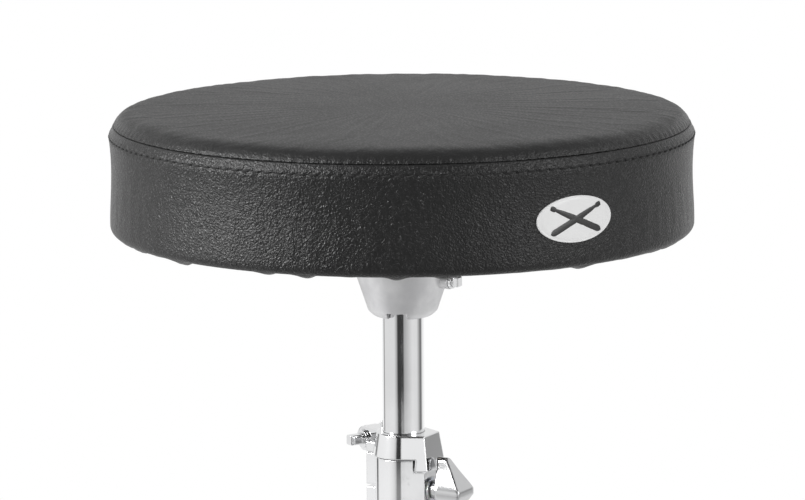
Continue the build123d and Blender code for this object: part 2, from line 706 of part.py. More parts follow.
def leg_rivets(azimuth, name):
    """A leg's top pivot, its stay pivot and its end rivet with their spacer tubes."""
    stations = ((0, LEG_IN + BAR_T + 0.2), (STAY_L, LEG_IN + BAR_T), (END_RIVET, LEG_IN + BAR_T))
    with BuildPart() as rivets:
        for distance, reach in stations:
            with BuildSketch(leg_plane(azimuth, -reach)):
                with Locations(along_leg(distance)):
                    Circle(PIN_R)
            extrude(amount=2 * reach)
        for distance in (STAY_L, END_RIVET):
            for side in (-1, 1):
                with BuildSketch(leg_plane(azimuth, side * (LEG_IN + BAR_T + 0.05))):
                    with Locations(along_leg(distance)):
                        Circle(5.2)
                extrude(amount=side * 1.6, taper=25)
        for distance in (0, END_RIVET):
            with BuildSketch(leg_plane(azimuth, -LEG_IN + 0.05)):
                with Locations(along_leg(distance)):
                    Circle(5.0)
            extrude(amount=2 * LEG_IN - 0.1)
    save(rivets, name)


def rubber_foot(azimuth, name):
    """A rubber boot over a leg's end, flat on the floor, with tread grooves."""
    half_w = 14.0
    turn = SPREAD - 90
    with BuildPart() as foot:
        with BuildSketch(leg_plane(azimuth, -half_w)):
            with Locations(along_leg(LEG_L)):
                Circle(FOOT_NOSE_R)
            with Locations(Location((*along_leg(LEG_L - FOOT_BACK / 2), 0), turn)):
                Rectangle(FOOT_BACK, 2 * FOOT_NOSE_R)
            with Locations((along_leg(LEG_L)[0], -25)):
                Rectangle(120, 50, mode=Mode.SUBTRACT)
        extrude(amount=2 * half_w)
        with BuildSketch(leg_plane(azimuth, -LEG_IN - BAR_T - 0.1)):
            with Locations(Location((*along_leg(LEG_L - FOOT_BACK / 2), 0), turn)):
                SlotCenterToCenter(FOOT_BACK, LEG_WIDTH + 0.2)
        extrude(amount=2 * (LEG_IN + BAR_T + 0.1), mode=Mode.SUBTRACT)
        sides = foot.faces().filter_by(leg_plane(azimuth)).sort_by(SortBy.AREA)
        fillet(sides[-2:].edges(), 2.5)
        with BuildSketch(leg_plane(azimuth, -half_w)):
            with Locations((along_leg(LEG_L)[0], 0)):
                with GridLocations(4.0, 0, 4, 1):
                    Rectangle(1.5, 2.4)
        extrude(amount=2 * half_w, mode=Mode.SUBTRACT)
    save(foot, name)


def stay_bar(azimuth, side, name):
    """One flat bar of a stay, from the lower collar to the leg's stay pivot."""
    stay_end = along_leg(STAY_L)
    middle = ((PIVOT_R + stay_end[0]) / 2, (LOWER_Z + stay_end[1]) / 2)
    with BuildPart() as bar:
        with BuildSketch(leg_plane(azimuth, side * STAY_IN)):
            with Locations(Location((*middle, 0), 90 - SPREAD)):
                SlotCenterToCenter(STAY_L, STAY_WIDTH)
            with Locations((PIVOT_R, LOWER_Z), stay_end):
                Circle(PIN_HOLE, mode=Mode.SUBTRACT)
        extrude(amount=side * BAR_T)
    save(bar, name)


def stay_spacer(azimuth, name):
    """The tube that keeps a stay's two bars apart at the leg."""
    with BuildPart() as spacer:
        with BuildSketch(leg_plane(azimuth, -STAY_IN + 0.05)):
            with Locations(along_leg(STAY_L)):
                Circle(5.0)
                Circle(PIN_HOLE, mode=Mode.SUBTRACT)
        extrude(amount=2 * STAY_IN - 0.1)
    save(spacer, name)


def stay_pin(azimuth, name):
    """The pin that joins a stay's two bars through the lower collar's slot."""
    with BuildPart() as pin:
        with BuildSketch(leg_plane(azimuth, -STAY_IN - BAR_T)):
            with Locations((PIVOT_R, LOWER_Z)):
                Circle(PIN_R)
        extrude(amount=2 * (STAY_IN + BAR_T))
        for side in (-1, 1):
            with BuildSketch(leg_plane(azimuth, side * (STAY_IN + BAR_T))):
                with Locations((PIVOT_R, LOWER_Z)):
                    Circle(5.2)
            extrude(amount=side * 1.6, taper=25)
    save(pin, name)


for number, azimuth in enumerate(LEG_AZ, start=1):
    leg_bar(azimuth, -1, f"leg_{number}_bar_left")
    leg_bar(azimuth, 1, f"leg_{number}_bar_right")
    leg_rivets(azimuth, f"leg_{number}_rivets")
    rubber_foot(azimuth, f"leg_{number}_foot")
    stay_bar(azimuth, -1, f"stay_{number}_bar_left")
    stay_bar(azimuth, 1, f"stay_{number}_bar_right")
    stay_spacer(azimuth, f"stay_{number}_spacer")
    stay_pin(azimuth, f"stay_{number}_pin")
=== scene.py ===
"""Drum throne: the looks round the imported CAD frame. Metres, +Z up."""
import json
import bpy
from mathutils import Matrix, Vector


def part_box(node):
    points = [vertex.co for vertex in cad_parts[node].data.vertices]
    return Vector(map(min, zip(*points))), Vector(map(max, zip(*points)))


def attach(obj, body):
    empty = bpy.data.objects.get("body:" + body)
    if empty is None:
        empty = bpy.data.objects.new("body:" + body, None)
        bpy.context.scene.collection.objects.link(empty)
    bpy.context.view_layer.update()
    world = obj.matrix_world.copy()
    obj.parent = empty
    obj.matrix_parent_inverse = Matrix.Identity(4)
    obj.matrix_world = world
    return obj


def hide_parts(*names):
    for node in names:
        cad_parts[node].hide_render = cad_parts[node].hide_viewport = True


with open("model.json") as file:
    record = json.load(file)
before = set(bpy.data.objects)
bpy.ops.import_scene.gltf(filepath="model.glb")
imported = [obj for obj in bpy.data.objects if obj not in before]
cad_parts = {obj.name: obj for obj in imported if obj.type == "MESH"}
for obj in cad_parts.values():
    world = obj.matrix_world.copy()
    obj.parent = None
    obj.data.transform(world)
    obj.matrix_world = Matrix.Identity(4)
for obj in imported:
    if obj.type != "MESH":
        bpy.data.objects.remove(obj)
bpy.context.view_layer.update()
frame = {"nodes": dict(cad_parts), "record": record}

from math import atan2, cos, pi, radians, sin

import bpy
import numpy as np
from mathutils import Matrix, Vector

MM = 0.001
post_lo, post_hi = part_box("seat_post")
AXIS_X = (post_lo[0] + post_hi[0]) / 2
AXIS_Y = (post_lo[1] + post_hi[1]) / 2
ring_lo, ring_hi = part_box("top_stitching")
STITCH_Z = (ring_lo[2] + ring_hi[2]) / 2
SEAT_R = 175.0  # mm, at the stitch line

# The camera, set at the photograph's viewing angle
CAMERA_DISTANCE = 2.5
CAMERA_RISE = radians(8.222)  # over the stitch line's level
CAMERA_DIP = radians(1.6207)  # the seat's middle stands this far above the picture's middle
CAMERA_ROLL = radians(0.38)
SENSOR_WIDTH, FOCAL_LENGTH = 36.0, 186.82  # mm

scene = bpy.context.scene


# ------------------------------------------------------------------ node helpers
class Nodes:
    """A material or world node tree with short calls for making and joining nodes."""

    def __init__(self, tree):
        self.tree = tree
        tree.nodes.clear()

    def add(self, kind, inputs=None, **props):
        node = self.tree.nodes.new(kind)
        for key, value in props.items():
            setattr(node, key, value)
        for key, value in (inputs or {}).items():
            self.put(node.inputs[key], value)
        return node

    def put(self, socket, value):
        if isinstance(value, bpy.types.NodeSocket):
            self.tree.links.new(value, socket)
        elif isinstance(value, bpy.types.Node):
            self.tree.links.new(value.outputs[0], socket)
        else:
            socket.default_value = value

    def math(self, operation, a, b=0.0, c=0.0, clamp=False):
        node = self.add("ShaderNodeMath", operation=operation, use_clamp=clamp)
        for socket, value in zip(node.inputs, (a, b, c)):
            self.put(socket, value)
        return node.outputs[0]

    def span(self, value, low, high, out_low=0.0, out_high=1.0, smooth=True):
        node = self.add("ShaderNodeMapRange", interpolation_type="SMOOTHSTEP" if smooth else "LINEAR")
        for socket, v in zip(node.inputs, (value, low, high, out_low, out_high)):
            self.put(socket, v)
        return node.outputs[0]

    def mix(self, factor, a, b, blend="MIX"):
        node = self.add("ShaderNodeMix", data_type="RGBA", blend_type=blend)
        self.put(node.inputs["Factor"], factor)
        self.put(node.inputs[6], a)
        self.put(node.inputs[7], b)
        return node.outputs[2]

    def noise(self, vector, scale, detail=3.0, rough=0.5, distortion=0.0):
        node = self.add("ShaderNodeTexNoise", inputs={"Vector": vector, "Scale": scale, "Detail": detail,
                                                     "Roughness": rough, "Distortion": distortion})
        return node.outputs["Fac"]

    def position(self, stretch=(1.0, 1.0, 1.0)):
        coords = self.add("ShaderNodeTexCoord")
        place = coords.outputs["Object"]
        mapping = self.add("ShaderNodeMapping", inputs={"Vector": place, "Scale": stretch})
        return mapping.outputs[0]


def rgb(value):
    """An opaque colour from a grey level or from red, green and blue."""
    return (*value, 1.0) if hasattr(value, "__len__") else (value, value, value, 1.0)


def new_material(name):
    material = bpy.data.materials.new(name)
    material.use_nodes = True
    return material, Nodes(material.node_tree)


def finish_material(n, bump_height=None, bump_distance=0.0002, bump_strength=1.0, edge=0.0, **inputs):
    """Adds the principled surface with its bump, and a bevelled look on hard edges."""
    normal = None
    if edge:
        normal = n.add("ShaderNodeBevel", samples=6, inputs={"Radius": edge}).outputs[0]
    if bump_height is not None:
        bump = n.add("ShaderNodeBump", inputs={"Height": bump_height, "Distance": bump_distance,
                                               "Strength": bump_strength})
        if normal is not None:
            n.put(bump.inputs["Normal"], normal)
        normal = bump.outputs[0]
    surface = n.add("ShaderNodeBsdfPrincipled")
    for key, value in inputs.items():
        n.put(surface.inputs[key.replace("_", " ")], value)
    if normal is not None:
        n.put(surface.inputs["Normal"], normal)
    out = n.add("ShaderNodeOutputMaterial")
    n.put(out.inputs["Surface"], surface)
    return surface


# ------------------------------------------------------------------ materials
def vinyl_material():
    """Black embossed vinyl: wandering creases round small pebbles with painted shade in the creases, a
    little wear and dust.
    """
    material, n = new_material("vinyl_grain")
    p = n.position()
    warp = n.add("ShaderNodeTexNoise", inputs={"Vector": p, "Scale": 170.0, "Detail": 2.0})
    offset = n.add("ShaderNodeVectorMath", operation="MULTIPLY_ADD")
    n.put(offset.inputs[0], warp.outputs["Color"])
    n.put(offset.inputs[1], (0.0035, 0.0035, 0.0035))
    n.put(offset.inputs[2], p)
    cells = n.add("ShaderNodeTexVoronoi", feature="DISTANCE_TO_EDGE",
                  inputs={"Vector": offset.outputs[0], "Scale": 500.0, "Randomness": 1.0})
    fine = n.add("ShaderNodeTexVoronoi", feature="DISTANCE_TO_EDGE",
                 inputs={"Vector": offset.outputs[0], "Scale": 950.0, "Randomness": 1.0})
    pebbles = n.span(cells.outputs["Distance"], 0.0, 0.45)
    small = n.span(fine.outputs["Distance"], 0.0, 0.25)
    waves = n.noise(p, 540.0, 2.0, 0.5, 0.9)
    height = n.math("MULTIPLY_ADD", pebbles, 0.45, n.math("MULTIPLY", small, 0.08))
    height = n.math("MULTIPLY_ADD", waves, 1.5, height)
    # painted shade: the colour is darker in the creases than on the pebbles
    colour = n.mix(pebbles, rgb((0.0025, 0.0025, 0.0025)), rgb((0.008, 0.008, 0.0083)))
    patches = n.noise(p, 9.0, 4.0)
    colour = n.mix(n.span(patches, 0.45, 0.75, 0.0, 0.3), colour, rgb((0.013, 0.0127, 0.0124)))
    rough = n.math("MULTIPLY_ADD", n.noise(p, 22.0, 3.0), 0.08, 0.25)
    rough = n.math("MULTIPLY_ADD", n.math("SUBTRACT", 1.0, pebbles), 0.12, rough)
    # the top panel is stretched flat, so its grain is shallower
    geometry = n.add("ShaderNodeNewGeometry")
    split = n.add("ShaderNodeSeparateXYZ", inputs={"Vector": geometry.outputs["Normal"]})
    strength = n.span(split.outputs["Z"], 0.3, 0.95, 1.0, 0.2)
    rough = n.math("ADD", rough, n.span(split.outputs["Z"], 0.6, 0.98, 0.0, 0.12))
    finish_material(n, height, 0.0004, strength, Base_Color=colour, Roughness=rough, Specular_IOR_Level=0.4)
    return material


def thread_material():
    """Black twisted thread with a slight sheen."""
    material, n = new_material("black_thread")
    p = n.position()
    strands = n.add("ShaderNodeTexWave", bands_direction="DIAGONAL",
                    inputs={"Vector": p, "Scale": 1300.0, "Distortion": 1.5, "Detail": 1.0})
    colour = n.mix(strands.outputs["Fac"], rgb(0.003), rgb(0.012))
    finish_material(n, strands.outputs["Fac"], 0.0001, 0.6, Base_Color=colour, Roughness=0.7,
                    Sheen_Weight=0.1, Specular_IOR_Level=0.3)
    return material


def cast_alloy_material():
    """Satin sprayed casting: fine sand texture, soft mottling, darker in rubbed patches, and painted shade
    darkening it towards its outline.
    """
    material, n = new_material("satin_cast_alloy")
    p = n.position()
    sand = n.noise(p, 2600.0, 3.0, 0.6)
    dimples = n.noise(p, 420.0, 4.0, 0.55)
    mottle = n.noise(p, 55.0, 4.0)
    colour = n.mix(n.span(mottle, 0.3, 0.75), rgb((0.60, 0.60, 0.61)), rgb((0.78, 0.78, 0.785)))
    # painted shade: the colour darkens where the surface turns away from the camera, towards its outline
    painted_edge_shade = n.add("ShaderNodeLayerWeight", inputs={"Blend": 0.3})
    colour = n.mix(n.span(painted_edge_shade.outputs["Facing"], 0.45, 0.95, 0.0, 0.45), colour, rgb(0.3))
    rough = n.math("MULTIPLY_ADD", dimples, 0.16, 0.3)
    height = n.math("MULTIPLY_ADD", sand, 0.45, dimples)
    finish_material(n, height, 0.00009, 0.7, edge=0.0007, Base_Color=colour, Metallic=0.85, Roughness=rough)
    return material


def chrome_material(name="polished_chrome", base_rough=0.045, edge=0.0005, painted_shade_dim=1.0):
    """Polished chrome over drawn tube: faint polishing lines, haze patches and fingermarks. Painted shade
    darkens its colour in gaps and creases, and darkens the whole colour when dimmed.
    """
    material, n = new_material(name)
    p = n.position()
    lines = n.noise(n.position((1.0, 1.0, 14.0)), 260.0, 3.0, 0.6)
    haze = n.noise(p, 34.0, 5.0, 0.6)
    ripple = n.noise(p, 26.0, 1.0)
    marks = n.span(n.noise(p, 110.0, 4.0, 0.7, 0.6), 0.62, 0.74)
    rough = n.math("MULTIPLY_ADD", n.span(haze, 0.4, 0.8), 0.05, base_rough)
    rough = n.math("MULTIPLY_ADD", marks, 0.03, rough)
    # painted shade where the dimming factor is below 1: the chrome's colour is darkened
    hazy = rgb((0.80 * painted_shade_dim, 0.805 * painted_shade_dim, 0.815 * painted_shade_dim))
    clean = rgb((0.90 * painted_shade_dim, 0.90 * painted_shade_dim, 0.905 * painted_shade_dim))
    colour = n.mix(haze, hazy, clean)
    # painted shade: ambient occlusion darkens the chrome's colour in gaps and creases between parts
    painted_gap_shade = n.add("ShaderNodeAmbientOcclusion", samples=8, inputs={"Distance": 0.0016})
    colour = n.mix(n.span(painted_gap_shade.outputs["AO"], 0.15, 0.8), rgb(0.04), colour)
    height = n.math("MULTIPLY_ADD", lines, 0.03, ripple)
    finish_material(n, height, 0.00006, 0.35, edge=edge, Base_Color=colour, Metallic=1.0, Roughness=rough)
    return material


def zinc_material():
    """Bright zinc plate: crystalline mottling and a fine grain."""
    material, n = new_material("bright_zinc")
    p = n.position()
    crystals = n.add("ShaderNodeTexVoronoi", inputs={"Vector": p, "Scale": 700.0})
    haze = n.noise(p, 120.0, 4.0)
    colour = n.mix(n.span(haze, 0.3, 0.7), rgb((0.52, 0.53, 0.55)), rgb((0.70, 0.70, 0.70)))
    colour = n.mix(0.12, colour, crystals.outputs["Color"], "OVERLAY")
    rough = n.math("MULTIPLY_ADD", haze, 0.2, 0.22)
    finish_material(n, n.noise(p, 1500.0, 3.0), 0.00005, 0.5, edge=0.0003, Base_Color=colour, Metallic=1.0,
                    Roughness=rough)
    return material


def moulded_material(name, colour_low, colour_high, rough_low, rough_high, grain=1600.0, depth=0.00008):
    """A moulded surface: fine spark-eroded grain, soft flow marks and uneven roughness."""
    material, n = new_material(name)
    p = n.position()
    flow = n.noise(p, 45.0, 4.0, 0.55, 0.4)
    pits = n.noise(p, grain, 4.0, 0.65)
    colour = n.mix(flow, rgb(colour_low), rgb(colour_high))
    rough = n.span(n.noise(p, 130.0, 3.0), 0.3, 0.7, rough_low, rough_high)
    finish_material(n, n.math("MULTIPLY_ADD", flow, 0.5, pits), depth, 0.6, edge=0.0004, Base_Color=colour,
                    Roughness=rough)
    return material


def plywood_material():
    """Birch plywood: layered edge, long grain on the faces."""
    material, n = new_material("plywood")
    coords = n.add("ShaderNodeTexCoord")
    split = n.add("ShaderNodeSeparateXYZ", inputs={"Vector": coords.outputs["Object"]})
    layers = n.math("SINE", n.math("MULTIPLY", split.outputs["Z"], 2 * pi / 0.003))
    grain = n.noise(n.position((1.0, 12.0, 1.0)), 60.0, 5.0, 0.6, 0.8)
    colour = n.mix(grain, rgb((0.50, 0.33, 0.18)), rgb((0.72, 0.54, 0.33)))
    colour = n.mix(n.span(layers, 0.0, 0.6, 0.0, 0.35), colour, rgb((0.36, 0.22, 0.12)))
    finish_material(n, grain, 0.0001, 0.5, Base_Color=colour, Roughness=0.68)
    return material


def dust_cloth_material():
    """Black spunbond cloth with its grid of bonded dots."""
    material, n = new_material("spunbond_cloth")
    p = n.position()
    dots = n.add("ShaderNodeTexVoronoi", inputs={"Vector": p, "Scale": 620.0, "Randomness": 0.12})
    fibres = n.noise(p, 1800.0, 5.0, 0.7, 1.4)
    bond = n.span(dots.outputs["Distance"], 0.25, 0.42)
    colour = n.mix(fibres, rgb(0.010), rgb(0.040))
    height = n.math("MULTIPLY_ADD", fibres, 0.5, bond)
    finish_material(n, height, 0.00015, 0.8, Base_Color=colour, Roughness=0.88, Sheen_Weight=0.2)
    return material


def badge_material(name, low, high, rough):
    """Printed badge film: slight orange peel and tiny specks."""
    material, n = new_material(name)
    p = n.position()
    peel = n.noise(p, 900.0, 2.0)
    specks = n.span(n.noise(p, 3200.0, 2.0), 0.68, 0.75, 0.0, 0.25)
    colour = n.mix(n.noise(p, 80.0, 3.0), rgb(low), rgb(high))
    colour = n.mix(specks, colour, rgb(0.35))
    finish_material(n, peel, 0.00003, 0.5, Base_Color=colour, Roughness=rough)
    return material


MATERIALS = {
    "vinyl": vinyl_material(),
    "thread": thread_material(),
    "cast_alloy": cast_alloy_material(),
    "chrome": chrome_material(),
    "cast_chrome": chrome_material("chromed_casting", 0.06, 0.0012),
    # painted shade: the wing bolts get a copy of the chrome whose colour is dimmed to 0.72
    "soft_chrome_shaded": chrome_material("chromed_wings_painted_shade", 0.07, 0.0022, 0.72),
    "zinc_steel": zinc_material(),
    "nylon": moulded_material("black_nylon", (0.02, 0.02, 0.021), (0.035, 0.035, 0.036), 0.4, 0.55),
    "black_plastic": moulded_material("black_moulding", (0.012, 0.012, 0.012), (0.024, 0.024, 0.025),
                                      0.35, 0.5),
    "rubber": moulded_material("black_rubber", (0.010, 0.010, 0.010), (0.026, 0.026, 0.027),
                               0.62, 0.8, 900.0, 0.00018),
    "plywood": plywood_material(),
    "dust_cloth": dust_cloth_material(),
    "foam": moulded_material("cut_foam", (0.62, 0.55, 0.33), (0.74, 0.68, 0.46), 0.85, 0.95, 700.0, 0.0006),
    "badge_plate": badge_material("badge_film", 0.72, 0.80, 0.34),
    "badge_print": badge_material("badge_print", 0.010, 0.018, 0.30),
}

SPECIAL = {"height_wing_bolt": "soft_chrome_shaded", "collar_wing_bolt": "soft_chrome_shaded",
           "memory_lock_collar": "cast_chrome", "receiver_casting": "cast_chrome"}
for entry in frame["record"]["subparts"]:
    cad_object = frame["nodes"][entry["node"]]
    for place in cad_object.material_slots:
        place.material = MATERIALS[SPECIAL.get(entry["node"], entry["material_slot"])]


# ------------------------------------------------------------------ mesh helpers
def mesh_object(name, vertices, faces, material, smooth=True):
    """A mesh object in the frame from millimetres about the post's axis, z from the floor."""
    mesh = bpy.data.meshes.new(name)
    points = np.asarray(vertices, float) * MM + np.array([AXIS_X, AXIS_Y, 0.0])
    mesh.from_pydata(points.tolist(), [], [list(f) for f in faces])
    mesh.update()
    mesh.polygons.foreach_set("use_smooth", [smooth] * len(mesh.polygons))
    obj = bpy.data.objects.new(name, mesh)
    scene.collection.objects.link(obj)
    mesh.materials.append(MATERIALS[material])
    return obj


def ring_faces(rings, segments, cap_first=False, cap_last=False):
    """Quads between rings of a closed sweep; a cap is a fan to one extra vertex."""
    faces = []
    for r in range(rings - 1):
        a, b = r * segments, (r + 1) * segments
        for s in range(segments):
            t = (s + 1) % segments
            faces.append((a + s, b + s, b + t, a + t))
    if cap_first:
        centre = rings * segments
        faces += [(centre, s, (s + 1) % segments) for s in range(segments)]
    if cap_last:
        centre = rings * segments + int(cap_first)
        a = (rings - 1) * segments
        faces += [(centre, a + (s + 1) % segments, a + s) for s in range(segments)]
    return faces


# ------------------------------------------------------------------ cushion form
SEAM_R, SEAM_Z = 172.0, 6.9
CROWN, CROWN_POWER = 7.2, 44  # quick roll-off at the rim
SWELL = 2.6  # gentle dome over the whole top
BOTTOM_Z = -58.0
STITCHES = 157
SEGMENTS = STITCHES * 6  # round the finished cover
COARSE = STITCHES * 2  # round the cloth that is simulated
ANGLES = np.arange(SEGMENTS) * 2 * pi / SEGMENTS
NEEDLE = np.cos(STITCHES * ANGLES)  # 1 at each needle hole, -1 between two
TOP_LIFT, SIDE_BULGE = 0.3, 0.12  # most that the cloth's uneven bulge may move the cover
WALL = np.polyfit([-3.0, -10.0, -18.0, -27.0, -37.0, -46.0, -52.0],
                  [174.72, 174.15, 173.85, 173.95, 174.35, 174.8, 174.95], 4)  # the band's radius by height


def top_profile():
    """(r, z) rings of the top panel from near the middle to its turned edge."""
    rings = []
    for r in (*np.linspace(2, 120, 30), *np.linspace(124, 160, 13), *np.linspace(162, 171.2, 12)):
        share = r / SEAM_R
        rings.append((r, SEAM_Z + CROWN * (1 - share**CROWN_POWER) + SWELL * (1 - share**2)))
    edge = [(171.75, 0.25), (172.0, -0.2), (171.85, -0.6), (171.2, -0.95), (169.8, -1.5)]
    return rings + [(r, SEAM_Z + z) for r, z in edge]


def side_profile():
    """(r, z) rings of the side band from its turned top edge to the hem under the seat."""
    top = [(170.2, SEAM_Z - 1.4), (171.5, SEAM_Z - 0.9), (172.2, SEAM_Z - 0.72), (172.85, SEAM_Z - 1.3)]
    band = [(172.9 + 2.1 * sin(t * pi / 2) ** 1.15, 5.0 - 5.0 * t) for t in np.linspace(0.18, 0.9, 6)]
    row = [(175.02, 0.35), (174.95, 0.0), (174.98, -0.4)]
    side = [(174.9, -1.4), (174.72, -3.0)]
    side += [(float(np.polyval(WALL, z)), z) for z in np.linspace(-5.0, -52.0, 22)]
    corner_r = side[-1][0] - 5.0
    corner = [(corner_r + 5.0 * cos(a), -53.0 - 5.0 * sin(a)) for a in np.linspace(0.12, pi / 2, 8)]
    under = [(r, BOTTOM_Z) for r in (168.0, 165.5, 163.0, 160.0, 157.0, 154.0, 151.0, 148.0, 145.0, 142.5)]
    edge = [(141.0, BOTTOM_Z + 0.1), (140.4, BOTTOM_Z + 0.7), (141.2, BOTTOM_Z + 1.2)]
    return top + band + row + side + corner + under + edge


def simulate_cushion(rings, fixed, pressure=4.0, frames=20):
    """Inflates the sewn cover as cloth and returns each coarse point's movement in mm.

    rings is a closed form from the middle of the top to the middle of the underside;
    fixed holds one pinning weight per ring.
    """
    angles = np.arange(COARSE) * 2 * pi / COARSE
    base = np.array([[(r * cos(a), r * sin(a), z) for a in angles] for r, z in rings])
    flat = base.reshape(-1, 3)
    lid = np.array([[0, 0, rings[0][1]], [0, 0, rings[-1][1]]])
    points = np.vstack([flat, lid])
    faces = ring_faces(len(rings), COARSE, True, True)
    faces = [f[::-1] for f in faces]
    mesh = bpy.data.meshes.new("cover_sim")
    mesh.from_pydata((points * MM).tolist(), [], faces)
    obj = bpy.data.objects.new("cover_sim", mesh)
    scene.collection.objects.link(obj)
    pins = obj.vertex_groups.new(name="pins")
    for ring, weight in enumerate(fixed):
        pins.add(list(range(ring * COARSE, (ring + 1) * COARSE)), float(weight), "REPLACE")
    pins.add([len(flat) + 1], 1.0, "REPLACE")
    cloth = obj.modifiers.new("cloth", "CLOTH")
    cloth.settings.quality = 6
    cloth.settings.mass = 0.4
    cloth.settings.tension_stiffness = 18
    cloth.settings.compression_stiffness = 18
    cloth.settings.shear_stiffness = 8
    cloth.settings.bending_stiffness = 0.6
    cloth.settings.vertex_group_mass = "pins"
    cloth.settings.use_pressure = True
    cloth.settings.uniform_pressure_force = pressure
    cloth.settings.effector_weights.gravity = 0.0
    cloth.collision_settings.use_collision = False
    cloth.point_cache.frame_start = 1
    cloth.point_cache.frame_end = frames
    scene.frame_start, scene.frame_end = 1, frames
    for f in range(1, frames + 1):
        scene.frame_set(f)
    evaluated = obj.evaluated_get(bpy.context.evaluated_depsgraph_get())
    moved = np.empty(len(points) * 3)
    evaluated.data.vertices.foreach_get("co", moved)
    moved = moved.reshape(-1, 3)[: len(flat)] / MM
    scene.frame_set(1)
    bpy.data.objects.remove(obj)
    bpy.data.meshes.remove(mesh)
    return (moved - flat).reshape(len(rings), COARSE, 3)


def radial_and_height(movement):
    """Splits a coarse movement field into its radial and vertical parts."""
    angles = np.arange(COARSE) * 2 * pi / COARSE
    out = movement[:, :, 0] * np.cos(angles) + movement[:, :, 1] * np.sin(angles)
    return out, movement[:, :, 2]


def widen(rows):
    """A periodic coarse row field resampled to the fine segments."""
    spectrum = np.fft.rfft(rows, axis=1)
    padded = np.zeros((rows.shape[0], SEGMENTS // 2 + 1), complex)
    padded[:, : spectrum.shape[1]] = spectrum
    return np.fft.irfft(padded, SEGMENTS, axis=1) * SEGMENTS / COARSE


def bell(value, middle, width):
    """1 at the middle, fading out over the width."""
    return np.exp(-((value - middle) / width) ** 2)


def calm(field, cap):
    """Scales a movement field so that its largest value is cap mm."""
    peak = np.abs(field).max()
    return field * (cap / peak) if peak > cap else field


def smooth_noise(rng, waves, power=1.0):
    """A periodic random curve over the fine segments with the given highest wave count."""
    curve = np.zeros(SEGMENTS)
    for k in range(1, waves + 1):
        curve += rng.normal() * np.cos(k * ANGLES + rng.uniform(0, 2 * pi)) / k**power
    return curve / np.abs(curve).max()


def pinning(rings):
    """One weight per ring: the two sewn lines and the underside stay where they are."""
    weights = []
    for r, z in rings:
        near_seam = abs(r - SEAM_R - 0.2) < 0.9 and 3.0 < z < 7.5
        near_row = abs(z) < 0.45 and r > 170
        under = z < -50.0
        weights.append(1.0 if near_seam or near_row or under else 0.0)
    return weights


def cover_bulge(top, side):
    """The uneven part of the inflated cover: the top's lift and the side's bulge, by ring."""
    rings = top[:-2] + side[2:-3] + [(110.0, BOTTOM_Z), (60.0, BOTTOM_Z)]
    out, lift = radial_and_height(simulate_cushion(rings, pinning(rings)))
    n_top = len(top) - 2
    top_lift = lift[:n_top] - lift[:n_top].mean(axis=1, keepdims=True)
    side_out = out[n_top:] - out[n_top:].mean(axis=1, keepdims=True)
    return widen(calm(top_lift, TOP_LIFT)), widen(calm(side_out, SIDE_BULGE))


def ring_points(radius, height):
    """The points of one ring of the cover, each with its own radius and height."""
    return np.stack([radius * np.cos(ANGLES), radius * np.sin(ANGLES), height], 1)


def cover_mesh(name, rows, closed):
    """A vinyl sheet through the rings of points, its middle closed where asked."""
    points = np.vstack(rows + [rows[0].mean(axis=0)[None]] if closed else rows)
    points[:, 2] += STITCH_Z / MM
    faces = [f[::-1] for f in ring_faces(len(rows), SEGMENTS, closed)]
    return mesh_object(name, points, faces, "vinyl")


def build_top_panel(top, lift, slack, crown_wave):
    """The crowned top: soft waves, and a slight pinch at each stitch near the seam."""
    rows = []
    for i, (r, z) in enumerate(top):
        sewn = bell(r, 172.0, 2.2) * (i < len(top) - 3)
        dz = lift[min(i, len(lift) - 1)] + 0.25 * crown_wave * (r / 172) ** 2 * (r < 171)
        dz = dz + 0.35 * slack * bell(r, 160.0, 9.0)
        rows.append(ring_points(r - 0.12 * NEEDLE * sewn, z + dz - 0.1 * NEEDLE * sewn))
    return cover_mesh("cover_top_cushion", rows, True)


def build_side_band(side, bulge, slack, slack_2):
    """The side: drawn in along the stitches, full between them, gathered under the hem."""
    pleats = np.clip(smooth_noise(np.random.default_rng(11), 48, 0.05) * 1.7, -0.1, 1.0)
    rows = []
    for i, (r, z) in enumerate(side):
        body = bell(z, -28.0, 14.0)
        groove = bell(z, 0.0, 0.75) * (r > 174)
        shoulder = bell(abs(z), 1.6, 1.0) * (r > 173)
        dr = bulge[min(max(i - 2, 0), len(bulge) - 1)] * (z > -55)
        dr = dr + 0.12 * slack * body + 0.05 * slack_2 * body
        dr = dr - (0.42 + 0.28 * NEEDLE) * groove + 0.16 * NEEDLE * shoulder
        dz = -2.9 * pleats * bell(r, 165.5, 4.5) if r < 171.5 and z < -50 else np.zeros(SEGMENTS)
        rows.append(ring_points(r + dr, z + dz))
    return cover_mesh("cover_side_cushion", rows, False)


def build_cushion():
    """The sewn vinyl cover as a top panel and a side band."""
    top, side = top_profile(), side_profile()
    lift, bulge = cover_bulge(top, side)
    # the upholsterer's hand: long soft waves and local slack
    rng = np.random.default_rng(7)
    slack = smooth_noise(rng, 11, 0.8)
    slack_2 = smooth_noise(rng, 24, 0.5)
    crown_wave = smooth_noise(rng, 5, 0.6)
    panel = build_top_panel(top, lift, slack, crown_wave)
    band = build_side_band(side, bulge, slack, slack_2)
    return panel, band


